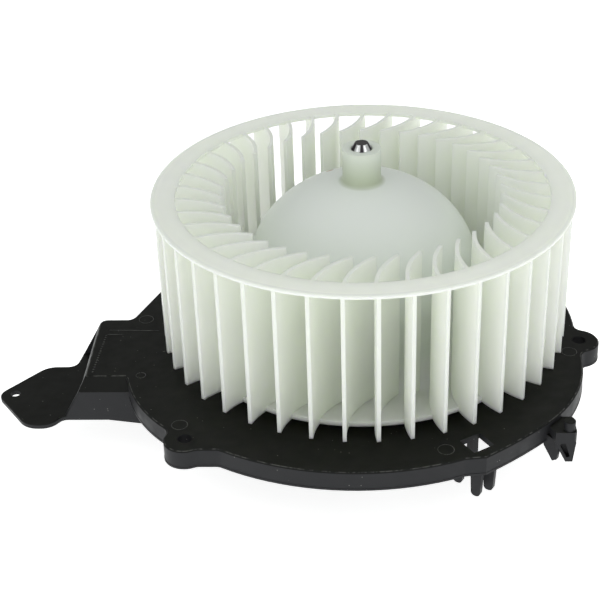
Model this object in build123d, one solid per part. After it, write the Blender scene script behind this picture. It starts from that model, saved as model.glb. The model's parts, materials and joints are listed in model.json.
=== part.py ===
"""Heater blower: a drum fan wheel on a flange-mounted permanent-magnet motor.

Millimetres, +Z up. The origin is on the shaft's axis, at the flange's top (mounting) face.
The fan wheel is above that face, and the motor hangs through it into the cover's cup.
"""

import os
from math import acos, cos, degrees, radians, sin, sqrt

from build123d import *

os.makedirs("parts", exist_ok=True)

# ---------------------------------------------------------------- driving dimensions
# fan wheel
WHEEL_R = 82.5
WHEEL_TOP = 65.3
WHEEL_BOTTOM = 3.0
RING_INNER_R = 72.9
RING_T = 1.4
BLADES = 41
BLADE_OUTER_R = 81.4
BLADE_ARC_R = 31.0  # the blade's middle line, seen from above
BLADE_ARC_DEG = 56.0
BLADE_LEAN_DEG = 9.4  # between the blade and the radius at its outer edge
BLADE_T = 1.45
BLADE_PHASE_DEG = -94.86  # where the first blade's outer edge stands
DISC_R = 71.8
DISC_T = 2.0
DOME_R = 46.2
DOME_SPRING_Z = 28.8  # the dome is a cylinder below this height and an ellipse above it
DOME_RISE = 40.7
DOME_T = 2.0
BOSS_R = 7.45
BOSS_TOP = 82.5
BOSS_FOOT = 58.0
BOSS_FILLET = 1.6

# shaft and motor
SHAFT_R = 4.0
SHAFT_TIP_R = 2.6
SHAFT_TOP = 84.7
SHAFT_FOOT = -31.0
RUNNING_GAP = 0.03  # radial, between the shaft and its bearings
CAN_R = 33.0
CAN_T = 1.8
CAN_TOP = 44.0
CAN_FOOT = -22.0
CAN_LIP_R = 37.0
NOSE_R = 9.8
NOSE_TOP = 53.0
NOSE_T = 1.2
END_NOSE_H = 11.0  # depth of the end plate's bearing seat
BEARING_R = 8.0
BEARING_L = 8.0
MAGNET_T = 5.0
MAGNET_DEG = 120.0
CORE_R = 25.0
CORE_Z = (0.0, 28.0)
SLOTS = 12
COMMUTATOR_R = 9.0
COMMUTATOR_Z = (-19.0, -8.0)
BRUSH_Z = -13.5
BRUSH_W = 5.0
BRUSH_H = 6.0
BRUSH_L = 12.0
HOLDER_END = 29.0
CARD_Z = -18.5

# flange
PLATE_T = 2.5
SKIRT_H = 8.0
SKIRT_T = 2.2
LIP_H = 0.9  # a thin lip stands proud round the skirt's foot
LIP_OUT = 0.12
SCREW_BOSS_R = 4.8
EDGE_BREAK = 0.6  # the bevel round the flange's top edge
SLEEVE_BORE_R = 35.5
SLEEVE_R = 38.0
SLEEVE_Z = (-19.0, 18.0)
PLENUM_R = 58.0
PLENUM_T = 2.0
WALL_FOOT = -18.0
BOLT_CIRCLE_R = 96.56
BOLT_CENTRE = (-8.48, 2.59)
FIRST_BOLT_DEG = -6.8
BOLT_HOLE_R = 2.75
EAR_R = 8.0
RIBS = 14

# cooling-air scoop on the flange's left side
SCOOP_Y = (-37.7, 9.9)
SCOOP_LIP_X = -110.3  # the mouth's upper edge
SCOOP_RAKE = 0.57  # how far the mouth runs out to the left for each millimetre down
SCOOP_INNER_X = -56.0
SCOOP_T = 2.0
SHOULDER_Y = -32.6  # the roof is flat up to here, then slopes down to the front wall
SHOULDER_Z = -4.6
TAB_HOLE = (-142.7, -21.7)
TAB_HOLE_R = 2.1

# motor cover
COVER_R = 60.0
COVER_Z = -20.0
CUP_R = 45.0
CUP_FOOT = -38.0
COVER_T = 2.0
COVER_SCREW_R = 63.0
COVER_SCREW_DEG = (35.0, 155.0, 275.0)
CONNECTOR_Y = (45.0, 61.0)
CONNECTOR_HALF = (12.0, 6.5)
CONNECTOR_Z = -27.0
TERMINAL_X = (-5.0, 5.0)
TERMINAL_W = 6.3
TERMINAL_T = 0.8


# ---------------------------------------------------------------- helpers
def disc(radius, low, high):
    """A solid cylinder on the Z axis between two heights."""
    return Pos(0, 0, low) * extrude(Circle(radius), high - low)


def tube(outer, inner, low, high):
    """A ring on the Z axis between two heights."""
    return Pos(0, 0, low) * extrude(Circle(outer) - Circle(inner), high - low)


def turned(*lines):
    """The solid that a closed outline in the XZ plane makes when it is turned about Z."""
    outline = make_face(Wire(lines))
    return revolve(outline, Axis.Z)


def turned_polygon(*points):
    """The same, for an outline of straight lines given as (radius, height) points."""
    return revolve(make_face(Polyline(*[(r, 0, z) for r, z in points], close=True)), Axis.Z)


def block(x, y, z):
    """A box between two values on each axis."""
    size = (x[1] - x[0], y[1] - y[0], z[1] - z[0])
    middle = ((x[0] + x[1]) / 2, (y[0] + y[1]) / 2, (z[0] + z[1]) / 2)
    return Pos(*middle) * Box(*size)


def around(shape, count, start=0.0):
    """Copies of a shape, evenly spaced about the Z axis."""
    return [Rot(0, 0, start + 360.0 * i / count) * shape for i in range(count)]


def polar(radius, angle):
    """The point at a radius and an angle, in degrees, about the Z axis."""
    return radius * cos(radians(angle)), radius * sin(radians(angle))


def sector(shape, from_deg, to_deg):
    """The part of a shape between two angles about Z, less than half a turn apart."""
    reach = 200.0
    wedge = Polyline(
        (0, 0),
        polar(reach, from_deg),
        polar(reach, (from_deg + to_deg) / 2),
        polar(reach, to_deg),
        close=True,
    )
    return shape & (Pos(0, 0, -reach) * extrude(make_face(wedge), 2 * reach))


def mirrored(shape, side):
    """A shape made on the +X side, turned to the -X side where side is negative."""
    return shape if side > 0 else Rot(0, 0, 180) * shape


def save(name, *shapes):
    """Write one node as a STEP file."""
    solids = [solid for shape in shapes for solid in shape.solids()]
    export_step(solids[0] if len(solids) == 1 else Compound(solids), f"parts/{name}.step")


# ---------------------------------------------------------------- fan wheel
def dome_arc(half_width, rise, inner_r):
    """The dome's elliptical section in the XZ plane, from its spring line in to a radius."""
    plane = Plane(origin=(0, 0, 0), x_dir=(1, 0, 0), z_dir=(0, -1, 0))
    sweep_deg = degrees(acos(inner_r / half_width))
    return plane * EllipticalCenterArc((0, DOME_SPRING_Z), half_width, rise, 0, arc_size=sweep_deg)


def wheel_hub():
    """Bottom disc, dome and shaft boss as one turned shell."""
    inner_r = DOME_R - DOME_T
    skin_r = BOSS_R - 0.6  # the boss is solid down to its foot, then the dome's skin begins
    lead_in = 0.4
    outer_flare = 10.0
    inner_flare = outer_flare + DOME_T
    bulge = 1 - sqrt(0.5)
    disc_top = WHEEL_BOTTOM + DISC_T
    over = dome_arc(DOME_R, DOME_RISE, BOSS_R)
    under = dome_arc(inner_r, DOME_RISE - DOME_T, skin_r)
    flare_top = (DOME_R, 0, disc_top + outer_flare)
    flare_foot = (DOME_R + outer_flare, 0, disc_top)
    flare_middle = (DOME_R + outer_flare * bulge, 0, disc_top + outer_flare * bulge)
    under_top = (inner_r, 0, WHEEL_BOTTOM + inner_flare)
    under_foot = (inner_r + inner_flare, 0, WHEEL_BOTTOM)
    under_middle = (inner_r + inner_flare * bulge, 0, WHEEL_BOTTOM + inner_flare * bulge)
    outline = [
        Line((DISC_R, 0, WHEEL_BOTTOM), (DISC_R, 0, disc_top)),
        Line((DISC_R, 0, disc_top), flare_foot),
        ThreePointArc(flare_foot, flare_middle, flare_top),
        Line(flare_top, (DOME_R, 0, DOME_SPRING_Z)),
        over,
        Line(over @ 1, (BOSS_R, 0, BOSS_TOP)),
        Line((BOSS_R, 0, BOSS_TOP), (SHAFT_R + lead_in, 0, BOSS_TOP)),
        Line((SHAFT_R + lead_in, 0, BOSS_TOP), (SHAFT_R, 0, BOSS_TOP - lead_in)),
        Line((SHAFT_R, 0, BOSS_TOP - lead_in), (SHAFT_R, 0, BOSS_FOOT)),
        Line((SHAFT_R, 0, BOSS_FOOT), (skin_r, 0, BOSS_FOOT)),
        Line((skin_r, 0, BOSS_FOOT), under @ 1),
        under,
        Line((inner_r, 0, DOME_SPRING_Z), under_top),
        ThreePointArc(under_top, under_middle, under_foot),
        Line(under_foot, (DISC_R, 0, WHEEL_BOTTOM)),
    ]
    hub = turned(*outline)
    boss_edges = hub.edges().filter_by(GeomType.CIRCLE).filter_by(lambda e: abs(e.radius - BOSS_R) < 0.01)
    boss_foot = boss_edges.sort_by(Axis.Z)[0]
    return fillet(boss_foot, BOSS_FILLET)


def blade_plan():
    """One blade seen from above, an arc with its outer edge on the +Y axis."""
    half = BLADE_T / 2
    lean = radians(BLADE_LEAN_DEG)
    centre = (-BLADE_ARC_R * cos(lean), BLADE_OUTER_R - BLADE_ARC_R * sin(lean))
    outside = CenterArc(centre, BLADE_ARC_R + half, BLADE_LEAN_DEG, -BLADE_ARC_DEG)
    inside = CenterArc(centre, BLADE_ARC_R - half, BLADE_LEAN_DEG, -BLADE_ARC_DEG)
    return make_face(Wire([outside, Line(outside @ 1, inside @ 1), inside, Line(inside @ 0, outside @ 0)]))


def fan_wheel():
    """The whole wheel is one moulding: top ring, blades, disc, dome and boss."""
    ring = tube(WHEEL_R, RING_INNER_R, WHEEL_TOP - RING_T, WHEEL_TOP)
    rim_edges = ring.edges().filter_by(GeomType.CIRCLE).filter_by(lambda e: e.radius > RING_INNER_R + 1)
    ring = fillet(rim_edges, RING_T * 0.35)
    blade = Pos(0, 0, WHEEL_BOTTOM) * extrude(blade_plan(), WHEEL_TOP - WHEEL_BOTTOM)
    blades = around(blade, BLADES, BLADE_PHASE_DEG - 90)
    return wheel_hub().fuse(ring, *blades)


# ---------------------------------------------------------------- rotor
def shaft():
    """The steel shaft, with a tapered top end and a small chamfer below."""
    chamfer_foot = 0.5
    return turned_polygon(
        (0, SHAFT_FOOT),
        (SHAFT_R - chamfer_foot, SHAFT_FOOT),
        (SHAFT_R, SHAFT_FOOT + chamfer_foot),
        (SHAFT_R, BOSS_TOP),
        (SHAFT_TIP_R + 0.2, SHAFT_TOP - 0.2),
        (SHAFT_TIP_R, SHAFT_TOP),
        (0, SHAFT_TOP),
    )


def slot_cutters(depth, mouth, low, high):
    """Round-bottomed slots round the armature core."""
    width = 5.0
    body = block((CORE_R - depth, CORE_R - 2.2), (-width / 2, width / 2), (low, high))
    neck = block((CORE_R - 3.0, CORE_R + 1), (-mouth / 2, mouth / 2), (low, high))
    return around(body + neck, SLOTS)


def armature_core():
    """The laminated core: a cylinder with winding slots, pressed on the shaft."""
    low, high = CORE_Z
    core = tube(CORE_R, SHAFT_R, low, high)
    return core.cut(*slot_cutters(13.0, 1.8, low - 1, high + 1))


def winding(low, high, wide):
    """One end turn bundle of the armature, a rounded ring of wire with a loop at each slot."""
    ring = tube(wide, SHAFT_R + 5.0, low, high)
    ring = fillet(ring.edges().filter_by(GeomType.CIRCLE), 1.8)
    notch = Pos(wide + 0.5, 0, (low + high) / 2) * Cylinder(1.2, high - low + 2)
    return ring.cut(*around(notch, SLOTS, 180 / SLOTS))


def slot_windings():
    """The straight part of the coils, one bundle in each slot, joined to neither end ring."""
    low, high = CORE_Z
    bundle = block((CORE_R - 12.6, CORE_R - 2.6), (-2.1, 2.1), (low, high))
    return around(bundle, SLOTS)


def commutator():
    """The moulded hub and its ring of separate copper bars."""
    low, high = COMMUTATOR_Z
    bar_inner = COMMUTATOR_R - 2.0
    hub = tube(bar_inner, SHAFT_R, low + 0.5, high)
    ring = tube(COMMUTATOR_R, bar_inner, low + 0.5, high - 1.5)
    riser = tube(COMMUTATOR_R + 1.6, bar_inner, high - 1.5, high)
    gap = block((bar_inner - 1, COMMUTATOR_R + 3), (-0.3, 0.3), (low - 1, high + 1))
    bars = (ring + riser).cut(*around(gap, SLOTS, 180 / SLOTS))
    return hub, bars


def thrust_washers():
    """Washers on the shaft, one just inside each bearing."""
    washer_r = 6.5
    washer_t = 0.8
    gap = 0.2
    upper_face = NOSE_TOP - NOSE_T - BEARING_L - gap
    lower_face = CAN_FOOT - END_NOSE_H + BEARING_L + gap
    upper = tube(washer_r, SHAFT_R, upper_face - washer_t, upper_face)
    lower = tube(washer_r, SHAFT_R, lower_face, lower_face + washer_t)
    return upper, lower


# ---------------------------------------------------------------- motor
def motor_can():
    """The deep-drawn steel yoke, open below, with a bearing nose on top."""
    outer = turned_polygon(
        (0, CAN_FOOT),
        (CAN_LIP_R, CAN_FOOT),
        (CAN_LIP_R, CAN_FOOT + CAN_T),
        (CAN_R, CAN_FOOT + CAN_T),
        (CAN_R, CAN_TOP - 4),
        (CAN_R - 4, CAN_TOP),
        (NOSE_R, CAN_TOP),
        (NOSE_R, NOSE_TOP),
        (0, NOSE_TOP),
    )
    inner = turned_polygon(
        (0, CAN_FOOT),
        (CAN_R - CAN_T, CAN_FOOT),
        (CAN_R - CAN_T, CAN_TOP - 4 - CAN_T / 2),
        (CAN_R - CAN_T - 3.2, CAN_TOP - CAN_T),
        (BEARING_R, CAN_TOP - CAN_T),
        (BEARING_R, NOSE_TOP - NOSE_T),
        (SHAFT_R + 1.5, NOSE_TOP - NOSE_T),
        (SHAFT_R + 1.5, NOSE_TOP),
        (0, NOSE_TOP),
    )
    vent = Pos(20.0, 0, CAN_TOP) * Cylinder(4.0, 8.0)
    vents = around(vent, 4, 45)
    return outer.cut(inner, *vents)


def magnet(start_deg):
    """One arc magnet inside the can."""
    outer = CAN_R - CAN_T
    arc = tube(outer, outer - MAGNET_T, CORE_Z[0] - 2, CORE_Z[1] + 4)
    return sector(arc, start_deg, start_deg + MAGNET_DEG)


def magnet_clips():
    """Two bent steel springs that push the magnets apart."""
    outer = CAN_R - CAN_T
    spring = tube(outer, outer - 1.0, CORE_Z[0] + 4, CORE_Z[1] - 2)
    half_deg = (180 - MAGNET_DEG) / 2 - 1.0
    return [sector(spring, side - half_deg, side + half_deg) for side in (90, 270)]


def bearing(middle):
    """A self-aligning sintered bush, barrel-shaped outside."""
    half = BEARING_L / 2
    bore = SHAFT_R + RUNNING_GAP
    end_r = BEARING_R - 1.8
    outline = [
        Line((bore, 0, middle - half), (end_r, 0, middle - half)),
        ThreePointArc((end_r, 0, middle - half), (BEARING_R, 0, middle), (end_r, 0, middle + half)),
        Line((end_r, 0, middle + half), (bore, 0, middle + half)),
        Line((bore, 0, middle + half), (bore, 0, middle - half)),
    ]
    return turned(*outline)


def bearing_clip(face, inward):
    """A fingered spring washer that holds a bush in its seat."""
    thickness = 0.5
    low, high = sorted((face, face + inward * thickness))
    rim = tube(14.0, 12.2, low, high)
    finger = block((7.2, 12.6), (-1.5, 1.5), (low, high))
    return rim.fuse(*around(finger, 6))


def end_plate():
    """The steel plate that closes the can, with the lower bearing's nose."""
    nose_foot = CAN_FOOT - END_NOSE_H
    plate = tube(CAN_LIP_R, BEARING_R, CAN_FOOT - 1.6, CAN_FOOT)
    nose = tube(NOSE_R, BEARING_R, nose_foot, CAN_FOOT)
    floor = disc(NOSE_R, nose_foot - NOSE_T, nose_foot)
    vents = around(Pos(27.0, 0, CAN_FOOT) * Cylinder(3.5, 8.0), 4, 45)
    lead_z = (CAN_FOOT - 4, CAN_FOOT + 4)
    leads = [block((x - 1.0, x + 1.0), (28.0, 36.0), lead_z) for x in TERMINAL_X]
    return plate.fuse(nose, floor).cut(*vents, *leads)


# ---------------------------------------------------------------- brush gear
def brush_card():
    """The moulded disc that carries the brush holders, chokes and capacitor."""
    card = tube(CAN_R - CAN_T, 11.5, CARD_Z - 1.6, CARD_Z)
    leads = [block((x - 1.0, x + 1.0), (26.0, 29.4), (CARD_Z - 4, CARD_Z + 4)) for x in TERMINAL_X]
    return card.cut(*leads)


def brush_holder(side):
    """A folded brass box with feet, open at the end near the commutator."""
    wall = 0.6
    slip = 0.1
    half_y = BRUSH_W / 2 + slip
    half_z = BRUSH_H / 2 + slip
    near = COMMUTATOR_R + 2.6
    foot_y = half_y + 3.4
    shell = block(
        (near, HOLDER_END),
        (-half_y - wall, half_y + wall),
        (BRUSH_Z - half_z - wall, BRUSH_Z + half_z + wall),
    )
    feet = block((near + 3, HOLDER_END - 3), (-foot_y, foot_y), (CARD_Z, BRUSH_Z - half_z - wall / 2))
    hollow = block(
        (near - 1, HOLDER_END - wall), (-half_y, half_y), (BRUSH_Z - half_z, BRUSH_Z + half_z)
    )
    return mirrored((shell + feet) - hollow, side)


def brush(side):
    """A carbon block whose inner end is hollowed to the commutator's radius."""
    face_gap = 0.05
    body = block(
        (COMMUTATOR_R - 1, COMMUTATOR_R + BRUSH_L),
        (-BRUSH_W / 2, BRUSH_W / 2),
        (BRUSH_Z - BRUSH_H / 2, BRUSH_Z + BRUSH_H / 2),
    )
    body = body - disc(COMMUTATOR_R + face_gap, BRUSH_Z - BRUSH_H, BRUSH_Z + BRUSH_H)
    return mirrored(body, side)


def brush_spring(side):
    """A compression spring behind the brush, drawn as its wire's helix."""
    wire_r = 0.3
    coil_r = 1.7
    start = COMMUTATOR_R + BRUSH_L + wire_r + 0.1
    end = HOLDER_END - 0.6 - wire_r
    turns = 6
    path = Helix(pitch=(end - start) / turns, height=end - start, radius=coil_r)
    section = Plane(origin=path @ 0, z_dir=path % 0) * Circle(wire_r)
    coil = sweep(section, path=path)
    laid = Pos(start, 0, BRUSH_Z) * Rot(0, 90, 0) * coil
    return mirrored(laid, side)


def choke(side):
    """A suppression choke: a ferrite rod with its winding, lying on the card along X."""
    coil_r = 2.6
    rod = Rot(0, 90, 0) * Cylinder(1.6, 16)
    coil = Rot(0, 90, 0) * Cylinder(coil_r, 11)
    coil = fillet(coil.edges().filter_by(GeomType.CIRCLE), 0.6)
    return Pos(side * 9.5, 21.0, CARD_Z + coil_r) * (rod + coil)


def capacitor():
    """A moulded suppression capacitor on the card."""
    body = block((-5.5, 5.5), (-23.5, -18.5), (CARD_Z, CARD_Z + 8.0))
    return fillet(body.edges().filter_by(Axis.Z), 1.2)


# ---------------------------------------------------------------- flange
def bolt_points():
    """The three screw holes, evenly spaced on their circle."""
    angles = [FIRST_BOLT_DEG + 120 * i for i in range(3)]
    spots = [polar(BOLT_CIRCLE_R, deg) for deg in angles]
    return [(BOLT_CENTRE[0] + x, BOLT_CENTRE[1] + y) for x, y in spots]


def flange_outline():
    """The flange seen from above, with part of the scoop's roof; inner corners are rounded."""
    clip_corner = (44.2, -86.4)
    clip_step = (36.6, -87.3)
    front_right = (68.7, -65.6)
    right = (86.9, -19.0)
    right_back = (86.9, 5.7)
    back = (-22.0, 94.5)
    left_back = (-88.5, 32.0)
    waist = (-96.5, 11.5)
    left = (-93.0, -36.0)
    front_left = (-64.0, -76.0)
    shoulder = ((-62.6, -81.35), (-53.4, -81.35))
    corner_arc = ThreePointArc(clip_corner, (57.0, -76.4), front_right)
    side_line = Line(left_back, waist)
    outline = [
        corner_arc,
        TangentArc(front_right, right, tangent=corner_arc % 1),
        Line(right, right_back),
        ThreePointArc(right_back, (58.5, 70.5), back),
        TangentArc(left_back, back, tangent=-(side_line % 0)),
        side_line,
        Line(waist, left),
        ThreePointArc(left, (-81.1, -60.7), front_left),
        Line(front_left, shoulder[0]),
        Line(*shoulder),
        ThreePointArc(shoulder[1], (-6.6, -95.4), clip_step),
        Line(clip_step, clip_corner),
    ]
    plate = make_face(Wire(outline))
    for spot in bolt_points():
        plate += Pos(*spot) * Circle(EAR_R)
    setback = 0.6
    roof_x = (SCOOP_LIP_X + 8.0, SCOOP_INNER_X)
    roof_y = (SHOULDER_Y + setback, SCOOP_Y[1] - setback)
    roof = Rectangle(roof_x[1] - roof_x[0], roof_y[1] - roof_y[0])
    plate += Pos((roof_x[0] + roof_x[1]) / 2, (roof_y[0] + roof_y[1]) / 2) * roof
    blend = 4.5
    return offset(offset(plate, blend), -blend)


def scoop_section(inset, roof, floor):
    """The scoop's cross-section in the YZ plane, shrunk by the wall thickness where inset."""
    near, far = SCOOP_Y[0] + inset, SCOOP_Y[1] - inset
    return Polyline(
        (0, near, floor),
        (0, near, SHOULDER_Z - inset * 0.4),
        (0, SHOULDER_Y + inset * 0.4, roof),
        (0, far, roof),
        (0, far, floor),
        close=True,
    )


def scoop_block(inset, roof, floor, inner_x):
    """The scoop's section run from its raked mouth to the motor's plenum."""
    mouth_x = SCOOP_LIP_X - 20
    body = Pos(mouth_x, 0, 0) * extrude(
        make_face(scoop_section(inset, roof, floor)), amount=inner_x - mouth_x, dir=(1, 0, 0)
    )
    drop = 60.0
    rake = Polyline(
        (SCOOP_LIP_X + SCOOP_RAKE * 5, 0, 5),
        (SCOOP_LIP_X - SCOOP_RAKE * drop, 0, -drop),
        (SCOOP_LIP_X - 60, 0, -drop),
        (SCOOP_LIP_X - 60, 0, 5),
        close=True,
    )
    cutter = Pos(0, 100, 0) * extrude(make_face(rake), amount=200, dir=(0, -1, 0))
    return body - cutter


def rounded_scoop():
    """The scoop's outside, with its mouth's back corner, its roof and its lip rounded."""

    def on_mouth(edge):
        middle = edge.center()
        mouth_x = SCOOP_LIP_X + SCOOP_RAKE * middle.Z
        return abs(middle.X - mouth_x) < 0.3 and middle.Z > WALL_FOOT + 0.5

    scoop = scoop_block(0.0, 0.0, WALL_FOOT, SCOOP_INNER_X)
    back_corner = scoop.edges().filter_by(on_mouth).sort_by(Axis.Y)[-1]
    scoop = fillet(back_corner, 3.0)
    roof_edges = scoop.edges().filter_by(Axis.X).group_by(Axis.Z)[-1]
    scoop = fillet(roof_edges, 1.2)
    return fillet(scoop.edges().filter_by(on_mouth), 0.9)


def tab():
    """The scoop's floor, carried out of the mouth as a pointed tab with a fixing hole."""
    foot_x = SCOOP_LIP_X + SCOOP_RAKE * WALL_FOOT
    outline = FilletPolyline(
        (-88.0, SCOOP_Y[1]),
        (foot_x + 1.6, SCOOP_Y[1]),
        (foot_x - 0.6, -2.0),
        (-133.0, -2.0),
        (-150.0, -22.2),
        (-134.2, -43.6),
        (-124.0, -43.6),
        (foot_x, SCOOP_Y[0]),
        (-88.0, SCOOP_Y[0]),
        close=True,
        radius=[0, 3.0, 4.0, 9.0, 5.0, 9.0, 7.5, 4.0, 0],
    )
    plate = Pos(0, 0, WALL_FOOT) * extrude(make_face(outline), SCOOP_T)
    plate = chamfer(plate.edges().group_by(Axis.Z)[-1], 0.4)
    hole = Pos(*TAB_HOLE, WALL_FOOT) * Cylinder(TAB_HOLE_R, 10)
    return plate - hole


def upright_plate(outline, near, far):
    """A shape given as (X, Z) points, thick between two values of Y."""
    face = make_face(Polyline(*[(x, near, z) for x, z in outline], close=True))
    return extrude(face, amount=far - near, dir=(0, 1, 0))


def harness_clip():
    """A block beside the rim with a round post, a slotted leg and a slanting flap."""
    top = -2.0
    waist = -6.6
    front, back = -69.3, -62.6
    plan = Polyline(
        (66.5, -61.0), (71.0, -56.0), (72.7, -59.0), (78.2, -59.0), (79.0, -60.0), (79.0, -68.4),
        (78.2, front), (71.2, front), (69.1, -64.6),
        close=True,
    )
    body = Pos(0, 0, waist) * extrude(make_face(plan), top - waist)
    post = Pos(76.4, -66.9, waist) * extrude(Circle(2.15), -waist + 2.0)
    post = fillet(post.edges().group_by(Axis.Z)[-1], 0.4)
    leg_outline = ((71.2, waist), (78.9, waist), (78.0, -15.3), (75.3, -15.3), (72.5, -9.6), (71.6, -9.6))
    leg = upright_plate(leg_outline, front, back)
    slot_outline = ((73.4, -7.0), (75.0, -7.0), (76.9, -13.0), (75.6, -13.4), (73.0, -8.0))
    slot = upright_plate(slot_outline, front - 1, front + 2.4)
    flap_outline = ((0.0, waist), (5.8, -5.0), (6.2, -10.0), (2.2, -16.0), (0.4, -14.8), (0.0, -9.9))
    flap = upright_plate([(-u, z) for u, z in flap_outline], 0.0, 1.8)
    flap = Pos(72.4, front + 0.3, 0) * Rot(0, 0, -35) * flap
    return [body, post, leg - slot, flap]


def window_centre():
    """The middle of the square window near the flange's front right edge."""
    return Pos(41.3, -77.8, 0) * Rot(0, 0, -57)


def snap_tongue(x, y, tip):
    """A flat tongue that hangs from the plate and narrows to a rounded tip."""
    half_top, half_tip = 2.6, 1.75
    thickness = 2.0
    root = -PLATE_T + 0.5
    corners = ((-half_top, root), (half_top, root), (half_tip, tip), (-half_tip, tip))
    face = make_face(Polyline(*[(x, 0, z) for x, z in corners], close=True))
    face = fillet(face.vertices().sort_by(Axis.Z)[:2], half_tip - 0.1)
    return Pos(x, y, 0) * Rot(0, 0, -30) * extrude(face, amount=thickness / 2, dir=(0, 1, 0), both=True)


def window_prongs():
    """Three snap tongues round the square window and a stop bar behind it."""
    front = snap_tongue(41.2, -84.3, -18.8)
    right = snap_tongue(46.1, -81.0, -18.6)
    left = snap_tongue(34.9, -79.6, -16.2)
    bar = window_centre() * (Pos(-6.6, 3.2, -15.0) * extrude(Rectangle(4.0, 2.3), 15.0 - PLATE_T + 0.5))
    return [front, right, left, bar]


def mounting_flange():
    """Plate, skirt, screw ears, motor sleeve, plenum wall, scoop and clips in one moulding."""
    outline = flange_outline()
    shell = Pos(0, 0, -SKIRT_H) * extrude(outline, SKIRT_H - EDGE_BREAK)
    shell += Pos(0, 0, -EDGE_BREAK) * extrude(outline, EDGE_BREAK, taper=45)
    recess = Pos(0, 0, -SKIRT_H) * extrude(offset(outline, -SKIRT_T), SKIRT_H - PLATE_T)
    lip = Pos(0, 0, -SKIRT_H) * extrude(offset(outline, LIP_OUT), LIP_H)
    shell = (shell + lip) - recess

    scoop = rounded_scoop()
    air_way = scoop_block(SCOOP_T, -PLATE_T, WALL_FOOT + SCOOP_T, SCOOP_INNER_X + 6)
    floor = block(
        (-90.0, SCOOP_INNER_X + 6),
        (SCOOP_Y[0] + SCOOP_T, SCOOP_Y[1] - SCOOP_T),
        (WALL_FOOT - 1, WALL_FOOT + SCOOP_T + 0.5),
    )

    plenum = tube(PLENUM_R, PLENUM_R - PLENUM_T, WALL_FOOT, -PLATE_T)
    sleeve = tube(SLEEVE_R, SLEEVE_BORE_R, *SLEEVE_Z)
    pillars = [
        Pos(*polar(COVER_SCREW_R, deg), WALL_FOOT) * extrude(Circle(4.5), -WALL_FOOT - PLATE_T + 0.5)
        for deg in COVER_SCREW_DEG
    ]
    bosses = [
        Pos(*spot, -SKIRT_H) * extrude(Circle(SCREW_BOSS_R), SKIRT_H - PLATE_T + 0.5)
        for spot in bolt_points()
    ]
    rib_foot = -SKIRT_H + 1.0
    rib = block((PLENUM_R - 1, 84.0), (-0.8, 0.8), (rib_foot, -PLATE_T + 0.5))
    ribs = [r for r in around(rib, RIBS, 8.0) if r.center().X > -45]
    hub_web = block((SLEEVE_R - 1, PLENUM_R - 1), (-1.0, 1.0), (-12.0, -PLATE_T + 0.5))
    webs = around(hub_web, 6, 40.0)

    frame = [plenum, sleeve, *pillars, *bosses, *ribs, *webs]
    body = shell.fuse(scoop, *frame, *harness_clip(), *window_prongs())
    bore = disc(SLEEVE_BORE_R, SLEEVE_Z[0] - 1, SLEEVE_Z[1] + 1)
    screw_holes = [Pos(*spot, 0) * Cylinder(BOLT_HOLE_R, 3 * SKIRT_H) for spot in bolt_points()]
    pilots = [Pos(*polar(COVER_SCREW_R, deg), WALL_FOOT) * Cylinder(1.5, 22.0) for deg in COVER_SCREW_DEG]
    window = window_centre() * Box(8.7, 9.1, 3 * PLATE_T)
    body = body.cut(bore, air_way, floor, *screw_holes, *pilots, window)
    return body + tab()


# ---------------------------------------------------------------- motor cover and the rest
def motor_cover():
    """The lower cover: a plate that closes the plenum and a cup round the motor's foot."""
    plate = disc(COVER_R, COVER_Z, COVER_Z + COVER_T)
    cup = disc(CUP_R, CUP_FOOT, COVER_Z + COVER_T)
    cup = fillet(cup.edges().group_by(Axis.Z)[0], 3.0)
    ears = [
        Pos(*polar(COVER_SCREW_R, deg), COVER_Z) * extrude(Circle(5.5), COVER_T) for deg in COVER_SCREW_DEG
    ]
    wedge = Polyline(
        (-102.0, 0, COVER_Z + COVER_T),
        (-40.0, 0, COVER_Z + COVER_T),
        (-40.0, 0, COVER_Z),
        (-88.0, 0, COVER_Z),
        close=True,
    )
    tongue = Pos(0, SCOOP_Y[1], 0) * extrude(
        make_face(wedge), amount=SCOOP_Y[1] - SCOOP_Y[0], dir=(0, -1, 0)
    )
    body = plate.fuse(cup, *ears, tongue)
    hollow = disc(CUP_R - COVER_T, CUP_FOOT + COVER_T, COVER_Z + COVER_T + 1)
    holes = [Pos(*polar(COVER_SCREW_R, deg), COVER_Z) * Cylinder(2.1, 10) for deg in COVER_SCREW_DEG]
    return body.cut(hollow, *holes, *terminal_blades(CUP_R - 5, CUP_R + 2, 0.3))


def terminal_blades(near, far, room):
    """The two flat terminals between two values of Y, with some room all round them."""
    half_w = TERMINAL_W / 2 + room
    half_t = TERMINAL_T / 2 + room
    return [
        block((x - half_w, x + half_w), (near, far), (CONNECTOR_Z - half_t, CONNECTOR_Z + half_t))
        for x in TERMINAL_X
    ]


def power_connector():
    """The plug socket on the cover, open towards the back."""
    half_x, half_z = CONNECTOR_HALF
    near, far = CONNECTOR_Y
    wall = 1.6
    back_wall = 3.0
    foot = CONNECTOR_Z - half_z
    shell = block((-half_x, half_x), (near - 3, far), (foot, COVER_Z))
    hollow = block(
        (-half_x + wall, half_x - wall),
        (near + back_wall, far + 1),
        (foot + wall, CONNECTOR_Z + half_z - wall),
    )
    latch = block((-3.0, 3.0), (far - 6, far - 3), (foot - 1.4, foot))
    cup = disc(CUP_R, CUP_FOOT, COVER_Z + COVER_T)
    blades = terminal_blades(near - 4, near + back_wall + 1, 0.0)
    return shell.fuse(latch).cut(hollow, cup, *blades)


def power_terminals():
    """Two tinned blades from inside the cup to the socket."""
    return terminal_blades(34.0, CONNECTOR_Y[1] - 4, 0.0)


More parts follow.
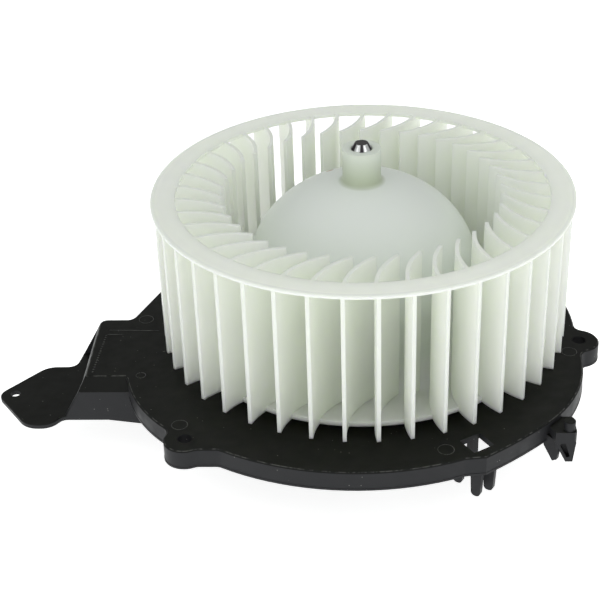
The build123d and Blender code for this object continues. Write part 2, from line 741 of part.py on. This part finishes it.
def cover_screws():
    """Three self-tapping screws that hold the cover to the flange."""
    screws = []
    for deg in COVER_SCREW_DEG:
        head = Pos(0, 0, COVER_Z - 2.4) * extrude(Circle(4.0), 2.4)
        head = chamfer(head.edges().group_by(Axis.Z)[0], 0.7)
        shank = Pos(0, 0, COVER_Z) * extrude(Circle(1.5), 10.0)
        cross = Pos(0, 0, COVER_Z - 2.4) * (Box(4.4, 0.9, 2.4) + Box(0.9, 4.4, 2.4))
        screws.append(Pos(*polar(COVER_SCREW_R, deg), 0) * (head + shank - cross))
    return screws


# ---------------------------------------------------------------- build every node
save("fan_wheel", fan_wheel())
save("shaft", shaft())
save("armature_core", armature_core())
save("winding_upper", winding(CORE_Z[1], CORE_Z[1] + 7.5, 23.0))
save("winding_lower", winding(CORE_Z[0] - 7.0, CORE_Z[0], 23.0))
save("slot_windings", *slot_windings())
commutator_hub, commutator_bars = commutator()
save("commutator_hub", commutator_hub)
save("commutator_bars", commutator_bars)
save("thrust_washers", *thrust_washers())

save("motor_can", motor_can())
save("magnet_left", magnet(180 - MAGNET_DEG / 2))
save("magnet_right", magnet(-MAGNET_DEG / 2))
save("magnet_clips", *magnet_clips())
save("upper_bearing", bearing(NOSE_TOP - NOSE_T - BEARING_L / 2))
save("lower_bearing", bearing(CAN_FOOT - END_NOSE_H + BEARING_L / 2))
save("upper_bearing_clip", bearing_clip(CAN_TOP - CAN_T, -1))
save("lower_bearing_clip", bearing_clip(CAN_FOOT, 1))
save("end_plate", end_plate())

save("brush_card", brush_card())
save("brush_holder_left", brush_holder(-1))
save("brush_holder_right", brush_holder(1))
save("brush_left", brush(-1))
save("brush_right", brush(1))
save("brush_spring_left", brush_spring(-1))
save("brush_spring_right", brush_spring(1))
save("choke_left", choke(-1))
save("choke_right", choke(1))
save("capacitor", capacitor())

save("mounting_flange", mounting_flange())
save("isolator_upper", tube(SLEEVE_BORE_R, CAN_R, 8.0, 14.0))
save("isolator_lower", tube(CAN_LIP_R, CAN_R, CAN_FOOT + CAN_T, SLEEVE_Z[0]))
save("motor_cover", motor_cover())
save("cover_screws", *cover_screws())
save("power_connector", power_connector())
save("power_terminals", *power_terminals())
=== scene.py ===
"""Looks for the heater blower: a milky drum fan wheel on a black flange with its motor.

Metres, in the CAD model's own frame: +Z up the shaft, origin at the flange's top face.
"""

import json
from math import cos, pi, radians, sin

import bpy
import bmesh
from mathutils import Matrix, Vector


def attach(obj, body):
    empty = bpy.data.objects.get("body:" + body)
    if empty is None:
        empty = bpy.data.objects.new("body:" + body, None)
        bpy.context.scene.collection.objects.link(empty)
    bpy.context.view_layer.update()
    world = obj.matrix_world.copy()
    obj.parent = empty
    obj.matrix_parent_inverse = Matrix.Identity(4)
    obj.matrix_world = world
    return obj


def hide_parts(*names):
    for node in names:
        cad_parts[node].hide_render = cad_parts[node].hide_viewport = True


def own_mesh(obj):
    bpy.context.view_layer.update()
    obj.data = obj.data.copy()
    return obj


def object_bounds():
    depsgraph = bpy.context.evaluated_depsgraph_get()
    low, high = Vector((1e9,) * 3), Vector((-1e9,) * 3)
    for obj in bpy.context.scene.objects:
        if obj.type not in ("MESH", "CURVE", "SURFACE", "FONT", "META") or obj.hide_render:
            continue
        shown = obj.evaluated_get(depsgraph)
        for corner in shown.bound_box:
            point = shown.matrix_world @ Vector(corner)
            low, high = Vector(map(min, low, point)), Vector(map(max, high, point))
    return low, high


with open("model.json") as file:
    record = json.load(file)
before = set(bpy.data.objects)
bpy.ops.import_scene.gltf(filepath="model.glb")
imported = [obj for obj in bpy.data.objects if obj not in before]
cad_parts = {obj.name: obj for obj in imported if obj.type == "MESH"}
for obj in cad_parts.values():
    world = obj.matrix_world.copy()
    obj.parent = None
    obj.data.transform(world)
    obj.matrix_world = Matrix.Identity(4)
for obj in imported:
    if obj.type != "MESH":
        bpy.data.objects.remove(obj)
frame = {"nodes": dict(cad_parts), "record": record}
nodes = frame["nodes"]
cad_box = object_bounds()
MM = 0.001

# the object's own sizes that its finishes are placed by
BLADE_OUTER_R = 81.4 * MM
DOME_R = 46.2 * MM
BOSS_R = 7.45 * MM
BOSS_TOP = 82.5 * MM
# the blades glow a little: from between the dome and their inner edges, rising to their tops
GLOW_R = (50 * MM, 54 * MM)
GLOW_Z = (40 * MM, 62 * MM)
BURN_MARK = Vector((-12.8, 16.2, 65.3)) * MM
BURN_MARK_R = 1.9 * MM


# ---------------------------------------------------------------- camera, lights and floor
CAMERA_DISTANCE = 0.5824
CAMERA_ELEVATION = radians(31.78)
CAMERA_AIM = Vector((0.0, 0.0, 0.0056))
CAMERA_YAW = radians(2.54)
CAMERA_PITCH = radians(0.76)
CAMERA_ROLL = radians(0.42)
CAMERA_LENS = 84.82
LIGHT_AIM = Vector((0, 0, 0.03))
FLOOR_RADIUS = 6.0
FLOOR_GAP = 0.0002

# name, azimuth and elevation in degrees, distance and size in metres, power in watts
SOFTBOXES = (
    ("left", -60, 42, 1.3, 0.5, 0.35),
    ("right", 62, 42, 1.3, 0.5, 0.35),
    ("front", 32, 24, 1.5, 1.0, 1.1),
    ("low_left", -38, 9, 1.2, 0.35, 0.65),
)


def make_camera():
    """The camera, aimed at the shaft's foot and then turned a little left and up."""
    back = Vector((0, -cos(CAMERA_ELEVATION), sin(CAMERA_ELEVATION)))
    turn = (
        back.to_track_quat("Z", "Y").to_matrix().to_4x4()
        @ Matrix.Rotation(CAMERA_YAW, 4, "Y")
        @ Matrix.Rotation(CAMERA_PITCH, 4, "X")
        @ Matrix.Rotation(-CAMERA_ROLL, 4, "Z")
    )
    data = bpy.data.cameras.new("camera")
    data.lens = CAMERA_LENS
    data.sensor_width = 36.0
    data.clip_start = 0.01
    data.clip_end = 50.0
    camera = bpy.data.objects.new("camera", data)
    camera.matrix_world = Matrix.Translation(CAMERA_AIM + back * CAMERA_DISTANCE) @ turn
    bpy.context.scene.collection.objects.link(camera)
    bpy.context.scene.camera = camera


def softbox(name, azimuth, elevation, distance, size, power):
    """A square area light that looks at the object. Azimuth 0 is in front, 90 on the right."""
    a, e = radians(azimuth), radians(elevation)
    direction = Vector((sin(a) * cos(e), -cos(a) * cos(e), sin(e)))
    data = bpy.data.lights.new(name, "AREA")
    data.shape = "SQUARE"
    data.size = size
    data.energy = power
    light = bpy.data.objects.new(name, data)
    light.location = LIGHT_AIM + direction * distance
    light.rotation_mode = "QUATERNION"
    light.rotation_quaternion = direction.to_track_quat("Z", "Y")
    bpy.context.scene.collection.objects.link(light)


def make_world():
    """A white studio, brightest overhead and darker towards its left, right and back walls."""
    world = bpy.data.worlds.new("studio")
    world.use_nodes = True
    tree = world.node_tree
    background = tree.nodes["Background"]
    place = tree.nodes.new("ShaderNodeTexCoord")
    split = tree.nodes.new("ShaderNodeSeparateXYZ")
    sideways = tree.nodes.new("ShaderNodeMath")
    sideways.operation = "ABSOLUTE"
    tree.links.new(place.outputs["Generated"], split.inputs[0])
    tree.links.new(split.outputs["X"], sideways.inputs[0])

    def falloff(direction, start, stop, first, last):
        """A strength that goes from first to last as a direction's part goes from start to stop."""
        node = tree.nodes.new("ShaderNodeMapRange")
        node.inputs["From Min"].default_value = start
        node.inputs["From Max"].default_value = stop
        node.inputs["To Min"].default_value = first
        node.inputs["To Max"].default_value = last
        tree.links.new(direction, node.inputs["Value"])
        return node.outputs[0]

    strength = falloff(split.outputs["Z"], 0.0, 0.8, 0.75, 0.86)
    for part in (
        falloff(sideways.outputs[0], 0.35, 0.95, 1.0, 0.45),
        falloff(split.outputs["Y"], 0.3, 0.85, 1.0, 0.45),
    ):
        node = tree.nodes.new("ShaderNodeMath")
        node.operation = "MULTIPLY"
        tree.links.new(strength, node.inputs[0])
        tree.links.new(part, node.inputs[1])
        strength = node.outputs[0]
    tree.links.new(strength, background.inputs["Strength"])
    background.inputs["Color"].default_value = (0.97, 1.0, 0.98, 1)
    bpy.context.scene.world = world


def make_floor():
    """A wide pale floor just under the object's lowest point."""
    bm = bmesh.new()
    bmesh.ops.create_circle(bm, cap_ends=True, segments=96, radius=FLOOR_RADIUS)
    mesh = bpy.data.meshes.new("floor")
    bm.to_mesh(mesh)
    bm.free()
    floor = bpy.data.objects.new("floor", mesh)
    floor.location.z = cad_box[0].z - FLOOR_GAP
    bpy.context.scene.collection.objects.link(floor)
    material = bpy.data.materials.new("floor_white")
    material.use_nodes = True
    shader = material.node_tree.nodes["Principled BSDF"]
    shader.inputs["Base Color"].default_value = (0.93, 0.93, 0.93, 1)
    shader.inputs["Roughness"].default_value = 0.9
    shader.inputs["Specular IOR Level"].default_value = 0.1
    shader.inputs["Emission Color"].default_value = (1, 1, 1, 1)
    shader.inputs["Emission Strength"].default_value = 0.8
    mesh.materials.append(material)


make_camera()
make_world()
make_floor()
for box in SOFTBOXES:
    softbox(*box)
bpy.context.scene.view_settings.view_transform = "Standard"


# ---------------------------------------------------------------- material nodes
WAVE_SCALE = 0.314  # a wave texture of scale 1 repeats every 0.314 of a unit
SPECK_CORE = 0.6  # the share of a speck's radius that has its full colour


class Shade:
    """A material being built: one principled shader, fed by procedural nodes in object space.

    The plain colour and roughness it starts with stay on the sockets under the nodes, for
    a program that reads no nodes.
    """

    def __init__(self, name, color, roughness, metallic=0.0):
        self.material = bpy.data.materials.new(name)
        self.material.use_nodes = True
        self.tree = self.material.node_tree
        self.shader = self.tree.nodes["Principled BSDF"]
        self.shader.inputs["Base Color"].default_value = (*color, 1)
        self.shader.inputs["Roughness"].default_value = roughness
        self.shader.inputs["Metallic"].default_value = metallic
        self.place = self.add("ShaderNodeTexCoord").outputs["Object"]

    def add(self, kind, **settings):
        """A new node with some of its settings made."""
        node = self.tree.nodes.new(kind)
        for key, value in settings.items():
            setattr(node, key, value)
        return node

    def link(self, output, target):
        """Join a node's output to another node's input."""
        self.tree.links.new(output, target)

    def noise(self, size, detail=3.0, stretch=(1, 1, 1)):
        """Noise whose blotches are about size metres across."""
        mapping = self.add("ShaderNodeMapping")
        mapping.inputs["Scale"].default_value = [1.0 / s for s in stretch]
        node = self.add("ShaderNodeTexNoise")
        node.inputs["Scale"].default_value = 1.0 / size
        node.inputs["Detail"].default_value = detail
        self.link(self.place, mapping.inputs["Vector"])
        self.link(mapping.outputs[0], node.inputs["Vector"])
        return node.outputs["Fac"]

    def wave(self, period, direction, rings=False, wobble=0.0):
        """Stripes across an axis, or rings round it, that repeat every period metres."""
        node = self.add("ShaderNodeTexWave", wave_type="RINGS" if rings else "BANDS")
        if rings:
            node.rings_direction = direction
        else:
            node.bands_direction = direction
        node.inputs["Scale"].default_value = WAVE_SCALE / period
        node.inputs["Distortion"].default_value = wobble
        node.inputs["Detail Scale"].default_value = 0.4
        self.link(self.place, node.inputs["Vector"])
        return node.outputs["Fac"]

    def ramp(self, value, *stops):
        """A colour ramp through (position, colour) stops."""
        node = self.add("ShaderNodeValToRGB")
        points = node.color_ramp.elements
        while len(points) < len(stops):
            points.new(0.5)
        for point, (position, color) in zip(points, stops):
            point.position = position
            point.color = (*color, 1)
        self.link(value, node.inputs[0])
        return node.outputs[0]

    def spread(self, value, low, high, start=0.3, stop=0.7):
        """A number that goes from low to high as value goes from start to stop."""
        node = self.add("ShaderNodeMapRange")
        node.inputs["From Min"].default_value = start
        node.inputs["From Max"].default_value = stop
        node.inputs["To Min"].default_value = low
        node.inputs["To Max"].default_value = high
        self.link(value, node.inputs["Value"])
        return node.outputs[0]

    def bump(self, value, depth, before=None):
        """A bump of the given depth in metres, added to an earlier one."""
        node = self.add("ShaderNodeBump")
        node.inputs["Strength"].default_value = 1.0
        node.inputs["Distance"].default_value = depth
        self.link(value, node.inputs["Height"])
        if before is not None:
            self.link(before, node.inputs["Normal"])
        self.link(node.outputs[0], self.shader.inputs["Normal"])
        return node.outputs[0]

    def product(self, *values):
        """The product of some numbers."""
        total = values[0]
        for value in values[1:]:
            node = self.add("ShaderNodeMath", operation="MULTIPLY")
            self.link(total, node.inputs[0])
            self.link(value, node.inputs[1])
            total = node.outputs[0]
        return total

    def blend(self, base, color, share):
        """A base colour with another one laid over it where share is 1."""
        mix = self.add("ShaderNodeMix", data_type="RGBA")
        self.link(share, mix.inputs["Factor"])
        self.link(base, mix.inputs["A"])
        mix.inputs["B"].default_value = (*color, 1)
        return mix.outputs["Result"]

    def height(self, source):
        """The Z part of a vector."""
        split = self.add("ShaderNodeSeparateXYZ")
        self.link(source, split.inputs[0])
        return split.outputs["Z"]

    def from_axis(self):
        """How far a point is from the shaft's axis."""
        flat = self.add("ShaderNodeVectorMath", operation="MULTIPLY")
        self.link(self.place, flat.inputs[0])
        flat.inputs[1].default_value = (1, 1, 0)
        length = self.add("ShaderNodeVectorMath", operation="LENGTH")
        self.link(flat.outputs[0], length.inputs[0])
        return length.outputs["Value"]

    def facing_up(self):
        """The Z part of the surface's normal."""
        return self.height(self.add("ShaderNodeNewGeometry").outputs["Normal"])

    def between(self, value, low, high, soft):
        """1 where value is between low and high, falling to 0 over a soft border."""
        above = self.spread(value, 0.0, 1.0, low - soft, low)
        below = self.spread(value, 1.0, 0.0, high, high + soft)
        return self.product(above, below)

    def spot(self, centre, radius):
        """1 inside a ball, falling to 0 at its border."""
        away = self.add("ShaderNodeVectorMath", operation="DISTANCE")
        self.link(self.place, away.inputs[0])
        away.inputs[1].default_value = centre
        return self.spread(away.outputs["Value"], 1.0, 0.0, radius * SPECK_CORE, radius)

    def speckled(self, base, speck, cell, size, share):
        """A colour with small round specks in a share of the cells of a random pattern.

        The cells are cell metres across, and a speck's radius is size times that.
        """
        cells = self.add("ShaderNodeTexVoronoi")
        cells.inputs["Scale"].default_value = 1.0 / cell
        self.link(self.place, cells.inputs["Vector"])
        lottery = self.add("ShaderNodeSeparateColor")
        self.link(cells.outputs["Color"], lottery.inputs[0])
        near = self.spread(cells.outputs["Distance"], 1.0, 0.0, size * SPECK_CORE, size)
        chosen = self.spread(lottery.outputs[0], 0.0, 1.0, 1.0 - share, 1.0 - share + 0.01)
        return self.blend(base, speck, self.product(near, chosen))

    def set(self, name, value):
        """Give one of the shader's sockets a plain value."""
        self.shader.inputs[name].default_value = value

    def feed(self, output, name):
        """Join a node's output to one of the shader's sockets."""
        self.link(output, self.shader.inputs[name])


def wheel_plastic():
    """Natural polypropylene: milky, a little green in depth, with faint flow marks.

    Its outermost edges are painted a little darker, a painted shade that dulls the glare light makes
    along them; the dome is denser; the boss is painted darker towards its foot, a painted shadow of
    the steel shaft; and the blades' upper part glows a little where light comes through the ring.
    """
    shade = Shade("wheel_plastic", (0.8, 0.82, 0.74), 0.38)
    out = shade.from_axis()
    height = shade.height(shade.place)

    flow = shade.noise(0.03, 4.0, (1, 1, 3))
    milky = shade.ramp(flow, (0.3, (0.885, 0.935, 0.81)), (0.7, (0.915, 0.955, 0.855)))
    # painted shade: the outermost edges are painted darker to dull the glare light makes along them
    edges = shade.spread(out, 0.0, 1.0, BLADE_OUTER_R - 1.0 * MM, BLADE_OUTER_R - 0.2 * MM)
    edge_shaded = shade.blend(milky, (0.79, 0.83, 0.755), edges)
    dome_border = (DOME_R - 0.7 * MM, DOME_R + 2.3 * MM)
    dome = shade.spread(out, 1.0, 0.0, *dome_border)
    denser = shade.blend(edge_shaded, (0.875, 0.925, 0.86), dome)
    # painted shadow: the boss is painted darker towards its foot, the steel shaft's shadow inside it
    boss = shade.spread(out, 1.0, 0.0, BOSS_R + 0.15 * MM, BOSS_R + 2.05 * MM)
    shaft_shadow_towards_foot = shade.spread(height, 1.0, 0.3, BOSS_TOP - 12.5 * MM, BOSS_TOP - 1.5 * MM)
    shaded = shade.blend(denser, (0.54, 0.595, 0.455), shade.product(boss, shaft_shadow_towards_foot))
    burn = shade.spot(BURN_MARK, BURN_MARK_R)
    shade.feed(shade.blend(shaded, (0.50, 0.36, 0.22), burn), "Base Color")
    shade.feed(shade.spread(shade.noise(0.004), 0.32, 0.46), "Roughness")

    upper = shade.spread(height, 0.0, 0.035, *GLOW_Z)
    inward = shade.spread(out, 1.0, 0.0, BLADE_OUTER_R - 4.4 * MM, BLADE_OUTER_R - 1.4 * MM)
    past_dome = shade.spread(out, 0.0, 1.0, *GLOW_R)
    shade.set("Emission Color", (0.86, 0.93, 0.78, 1))
    shade.feed(shade.product(upper, inward, past_dome), "Emission Strength")

    shade.feed(shade.spread(out, 0.3, 1.0, *dome_border), "Subsurface Weight")
    shade.set("Subsurface Radius", (0.0062, 0.0066, 0.0054))
    shade.set("Subsurface Scale", 1.0)
    shade.bump(shade.noise(0.0009, 2.0), 0.02 * MM)
    return shade.material


def black_plastic():
    """Glass-filled black nylon: fine texture, dusty bloom, dust specks, a top edge of wear and painted
    highlight.

    The walls are a little lighter and bluer than the faces that look up: painted light from the white
    studio they face.
    """
    shade = Shade("black_plastic", (0.02, 0.02, 0.02), 0.45)
    facing = shade.facing_up()
    bloom = shade.ramp(
        shade.noise(0.02, 5.0), (0.3, (0.0042, 0.0043, 0.0034)), (0.75, (0.0074, 0.0075, 0.0062))
    )
    # painted light: walls are painted lighter and bluer than the faces that look up
    walls = shade.spread(facing, 1.0, 0.0, 0.3, 0.8)
    wall_painted_light = shade.blend(bloom, (0.0205, 0.0208, 0.0228), walls)
    dusty = shade.speckled(wall_painted_light, (0.16, 0.16, 0.15), cell=0.0026, size=0.09, share=0.45)
    # the bevelled top edge is painted lighter in patches: partly wear and dust, partly a painted
    # highlight
    bevel = shade.between(facing, 0.4, 0.9, soft=0.1)
    rim = shade.between(shade.height(shade.place), -0.22 * MM, 0.1 * MM, soft=0.08 * MM)
    patches = shade.spread(shade.noise(0.0028), 0.0, 1.0, 0.46, 0.58)
    edge_wear_and_highlight = shade.blend(dusty, (0.07, 0.07, 0.066), shade.product(bevel, rim, patches))
    shade.feed(edge_wear_and_highlight, "Base Color")
    shade.feed(shade.spread(shade.noise(0.006, 4.0), 0.38, 0.54), "Roughness")
    shade.set("Specular IOR Level", 0.16)
    fine = shade.bump(shade.noise(0.0007, 2.0), 0.01 * MM)
    shade.bump(shade.noise(0.012, 2.0), 0.2 * MM, fine)
    return shade.material


def scuffed_plastic():
    """The same nylon where it is rubbed pale, along raised marks."""
    shade = Shade("scuffed_plastic", (0.05, 0.05, 0.048), 0.35)
    rubbed = shade.ramp(
        shade.noise(0.004), (0.35, (0.008, 0.008, 0.0075)), (0.6, (0.045, 0.045, 0.042))
    )
    shade.feed(rubbed, "Base Color")
    shade.feed(shade.spread(shade.noise(0.002), 0.25, 0.45), "Roughness")
    return shade.material


def polished_steel():
    """Turned shaft steel with fine rings round its axis; its dull end and streaky taper are painted
    reflections.
    """
    shade = Shade("polished_steel", (0.30, 0.29, 0.28), 0.1, 1.0)
    circle = shade.add("ShaderNodeTexGradient", gradient_type="RADIAL")
    shade.link(shade.place, circle.inputs["Vector"])
    dark_reflection, bright_reflection = (0.05, 0.045, 0.05), (0.95, 0.95, 0.96)
    # each painted reflection streak starts and ends, and has its full brightness between, at these
    # parts of a turn
    reflection_streaks = ((0.11, 0.14, 0.21, 0.235), (0.28, 0.30, 0.39, 0.42), (0.60, 0.66, 0.80, 0.86))
    stops = [
        (part, color)
        for streak in reflection_streaks
        for part, color in zip(streak, (dark_reflection, bright_reflection, bright_reflection, dark_reflection))
    ]
    painted_reflections = shade.ramp(circle.outputs["Fac"], *stops)
    # the end that looks up gets a dim colour, a painted reflection
    end = shade.spread(shade.facing_up(), 0.0, 1.0, 0.85, 0.95)
    shade.feed(shade.blend(painted_reflections, (0.11, 0.10, 0.105), end), "Base Color")
    rings = shade.noise(0.0006, 2.0, (40, 40, 1))
    shade.feed(shade.spread(rings, 0.05, 0.14), "Roughness")
    shade.bump(rings, 0.006 * MM)
    return shade.material


def plain(name, color, roughness, metallic=0.0):
    """A moulded or rolled finish: slow colour drift, uneven gloss and a fine grain."""
    shade = Shade(name, color, roughness, metallic)
    darker = tuple(c * 0.82 for c in color)
    shade.feed(shade.ramp(shade.noise(0.01, 4.0), (0.3, darker), (0.7, color)), "Base Color")
    shade.feed(shade.spread(shade.noise(0.004), roughness * 0.8, roughness * 1.25), "Roughness")
    shade.bump(shade.noise(0.0008, 2.0), 0.01 * MM)
    return shade.material


def laminated_steel():
    """Stamped sheets stacked along the shaft, with a brown varnish bloom."""
    shade = Shade("core_steel", (0.33, 0.33, 0.34), 0.4, 1.0)
    sheets = shade.wave(0.0005, "Z", wobble=0.3)
    shade.feed(shade.ramp(sheets, (0.1, (0.10, 0.09, 0.08)), (0.5, (0.36, 0.36, 0.37))), "Base Color")
    shade.feed(shade.spread(shade.noise(0.004), 0.32, 0.5), "Roughness")
    shade.bump(sheets, 0.04 * MM)
    return shade.material


def wound_copper(name, direction, rings):
    """Varnished wire laid turn by turn, with painted shade darkening the grooves between the turns."""
    shade = Shade(name, (0.55, 0.17, 0.05), 0.3, 0.9)
    turns = shade.wave(0.0006, direction, rings, wobble=1.2)
    # painted shade: the grooves between the turns are painted darker
    shade.feed(shade.ramp(turns, (0.15, (0.16, 0.04, 0.012)), (0.6, (0.62, 0.20, 0.06))), "Base Color")
    shade.feed(shade.spread(shade.noise(0.003), 0.22, 0.42), "Roughness")
    shade.set("Coat Weight", 0.5)
    shade.set("Coat Roughness", 0.2)
    shade.bump(turns, 0.12 * MM)
    return shade.material


MATERIALS = {
    "wheel_plastic": wheel_plastic(),
    "black_plastic": black_plastic(),
    "polished_steel": polished_steel(),
    "core_steel": laminated_steel(),
    "enamelled_copper": wound_copper("enamelled_copper", "Z", rings=True),
    "copper": plain("copper", (0.75, 0.38, 0.24), 0.3, 1.0),
    "brown_phenolic": plain("brown_phenolic", (0.12, 0.05, 0.02), 0.45),
    "nylon": plain("nylon", (0.82, 0.8, 0.72), 0.4),
    "plated_steel": plain("plated_steel", (0.6, 0.61, 0.62), 0.33, 1.0),
    "ferrite": plain("ferrite", (0.05, 0.05, 0.055), 0.6),
    "spring_steel": plain("spring_steel", (0.4, 0.4, 0.42), 0.3, 1.0),
    "sintered_bronze": plain("sintered_bronze", (0.5, 0.32, 0.14), 0.45, 1.0),
    "brass": plain("brass", (0.78, 0.58, 0.26), 0.3, 1.0),
    "carbon": plain("carbon", (0.03, 0.03, 0.032), 0.55),
    "capacitor_case": plain("capacitor_case", (0.55, 0.34, 0.03), 0.3),
    "rubber": plain("rubber", (0.02, 0.02, 0.02), 0.7),
    "screw_steel": plain("screw_steel", (0.52, 0.52, 0.5), 0.35, 1.0),
    "connector_plastic": plain("connector_plastic", (0.022, 0.022, 0.024), 0.4),
    "tinned_brass": plain("tinned_brass", (0.7, 0.7, 0.68), 0.25, 1.0),
}
choke_wire = wound_copper("choke_wire", "X", rings=False)
scuffed = scuffed_plastic()


def paint_nodes():
    """Each CAD node gets the finish of its material slot."""
    slot_of = {s["node"]: s["material_slot"] for s in frame["record"]["subparts"]}
    for name, node in nodes.items():
        node.data.materials.clear()
        node.data.materials.append(choke_wire if name.startswith("choke") else MATERIALS[slot_of[name]])


paint_nodes()


# ---------------------------------------------------------------- detail pieces
def add_piece(name, bm, body, slot, material=None):
    """Turn a bmesh into a piece that rides on a body and has a slot's finish, or its own."""
    bmesh.ops.recalc_face_normals(bm, faces=bm.faces)
    mesh = bpy.data.meshes.new(name)
    bm.to_mesh(mesh)
    bm.free()
    mesh.materials.append(material or MATERIALS[slot])
    for face in mesh.polygons:
        face.use_smooth = True
    piece = bpy.data.objects.new(name, mesh)
    bpy.context.scene.collection.objects.link(piece)
    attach(piece, body)
    return piece


def loft_rows(bm, rows, closed):
    """Join rows of points into a tube, and close its ends if it is open."""
    rings = [[bm.verts.new(point) for point in row] for row in rows]
    pairs = list(zip(rings, rings[1:]))
    if closed:
        pairs.append((rings[-1], rings[0]))
    for ring, after in pairs:
        for i in range(len(ring)):
            j = (i + 1) % len(ring)
            bm.faces.new((ring[i], ring[j], after[j], after[i]))
    if not closed:
        bm.faces.new(reversed(rings[0]))
        bm.faces.new(rings[-1])


def add_ridge(bm, path, width, height, closed=False):
    """A low rounded ridge that follows points on a face that looks up."""
    sides = 6
    sunk = 0.06 * MM
    rows = []
    for i, point in enumerate(path):
        before = path[i - 1] if closed or i else point
        after = path[(i + 1) % len(path)] if closed or i + 1 < len(path) else point
        along = (after - before).normalized()
        across = Vector((-along.y, along.x, 0)) * width / 2
        arch = [
            point + across * cos(pi * k / sides) + Vector((0, 0, height * sin(pi * k / sides)))
            for k in range(sides + 1)
        ]
        sole = [point - across - Vector((0, 0, sunk)), point + across - Vector((0, 0, sunk))]
        rows.append(arch + sole)
    loft_rows(bm, rows, closed)


def circle_path(x, y, radius, points=48):
    """Points round a circle on the flange's top face, from millimetres."""
    turns = [2 * pi * i / points for i in range(points)]
    return [Vector((x + radius * cos(t), y + radius * sin(t), 0)) * MM for t in turns]


# the flange's moulding marks, in millimetres
EJECTOR_RINGS = (
    (29.8, -81.9, 3.0), (82.4, -17.5, 3.0), (-69.1, -66.1, 3.0), (-91.3, 9.4, 3.0), (-88.1, -32.7, 1.9)
)
SCRIBED_LINES = (((-105.8, 1.1), (-84.8, 0.4)), ((-106.0, -2.3), (-99.0, -2.3)))
LINE_PARTS = 6
DOTTED_LINE = ((-106.4, -3.0), (-107.8, -30.0))
DOTS = 17
DOT_R = 0.22


def on_flange(start, end, share):
    """A point part of the way along a line on the flange's top face, in millimetres."""
    return Vector((*start, 0)).lerp(Vector((*end, 0)), share)


def flange_marks():
    """Moulding marks on the flange's top face: ejector rings, two scribed lines and a dotted line."""
    bm = bmesh.new()
    for x, y, radius in EJECTOR_RINGS:
        add_ridge(bm, circle_path(x, y, radius), 0.35 * MM, 0.10 * MM, closed=True)
    for start, end in SCRIBED_LINES:
        line = [on_flange(start, end, i / LINE_PARTS) * MM for i in range(LINE_PARTS + 1)]
        add_ridge(bm, line, 0.4 * MM, 0.12 * MM)
    for i in range(DOTS):
        dot = on_flange(*DOTTED_LINE, i / (DOTS - 1))
        add_ridge(bm, circle_path(dot.x, dot.y, DOT_R, 10), 0.4 * MM, 0.14 * MM, closed=True)
    add_piece("flange_marks", bm, "motor_housing", "black_plastic", scuffed)


def brush_spring(side_name, side):
    """A coiled wire spring behind a brush."""
    wire, coil, turns = 0.3 * MM, 1.7 * MM, 7
    near, far, seat = 21.45 * MM, 28.1 * MM, 28.4 * MM
    height = -13.5 * MM
    steps, sides = 24 * turns, 10
    rows = []
    for i in range(steps + 1):
        turn = 2 * pi * turns * i / steps
        x = near + (far - near) * i / steps
        outward = Vector((0, cos(turn), sin(turn)))
        rows.append([
            Vector((x, 0, height))
            + outward * (coil + wire * cos(2 * pi * k / sides))
            + Vector((wire * sin(2 * pi * k / sides), 0, 0))
            for k in range(sides)
        ])
    rows = [[Vector((p.x * side, p.y * side, p.z)) for p in row] for row in rows]
    bm = bmesh.new()
    loft_rows(bm, rows, closed=False)
    spring = add_piece(f"coil_spring_{side_name}", bm, "motor_housing", "spring_steel")
    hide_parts(f"brush_spring_{side_name}")
    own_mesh(spring)


flange_marks()
brush_spring("left", -1)
brush_spring("right", 1)
